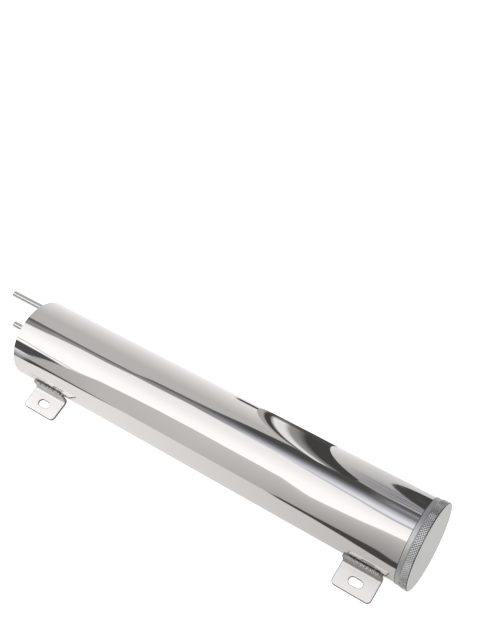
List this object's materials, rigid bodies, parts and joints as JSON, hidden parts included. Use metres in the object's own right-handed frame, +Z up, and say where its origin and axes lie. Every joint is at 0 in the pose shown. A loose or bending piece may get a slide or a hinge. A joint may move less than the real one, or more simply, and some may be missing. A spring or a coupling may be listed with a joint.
{
  "type": "coolant overflow tank",
  "caption": "Long cylindrical coolant overflow tank with slotted bracket tabs on its side, hose tubes in one end and a knurled screw cap on the other.",
  "frame": {"origin": "centre of the two bracket slots, on the undersides of the tabs", "axes": "+X along the tank towards the screw cap, +Y from the slots towards the tank, +Z up through the slots"},
  "size_m": [0.4728, 0.1015, 0.0788],
  "materials": {
    "polished_steel": "mirror polished stainless steel",
    "satin_neck": "satin turned stainless steel",
    "satin_cap": "satin with a fine diamond knurl on the rim",
    "bracket_steel": "satin stainless sheet",
    "weld": "rippled weld metal",
    "rubber": "matte black"
  },
  "bodies": {
    "tank": {"tank_tube": "polished_steel", "end_plate": "polished_steel", "coolant_tube": "polished_steel", "overflow_tube": "polished_steel", "neck_ring": "satin_neck", "bracket_tube_end": "bracket_steel", "bracket_cap_end": "bracket_steel", "bracket_weld_tube_end": "weld", "bracket_weld_cap_end": "weld"},
    "seal": {"o_ring": "rubber"},
    "cap": {"cap": "satin_cap"}
  },
  "joints": [
    {"name": "cap_travel", "type": "slide", "parent": "tank", "child": "seal", "axis": [1, 0, 0], "range_m": [0, 0.012]},
    {"name": "cap_turn", "type": "hinge", "parent": "seal", "child": "cap", "pos_m": [0.205, 0.05165, 0.015], "axis": [1, 0, 0], "range_deg": [0, 2880]}
  ],
  "couplings": [
    {"joint": "cap_travel", "follows": "cap_turn", "m_per_rad": 0.00023873}
  ]
}
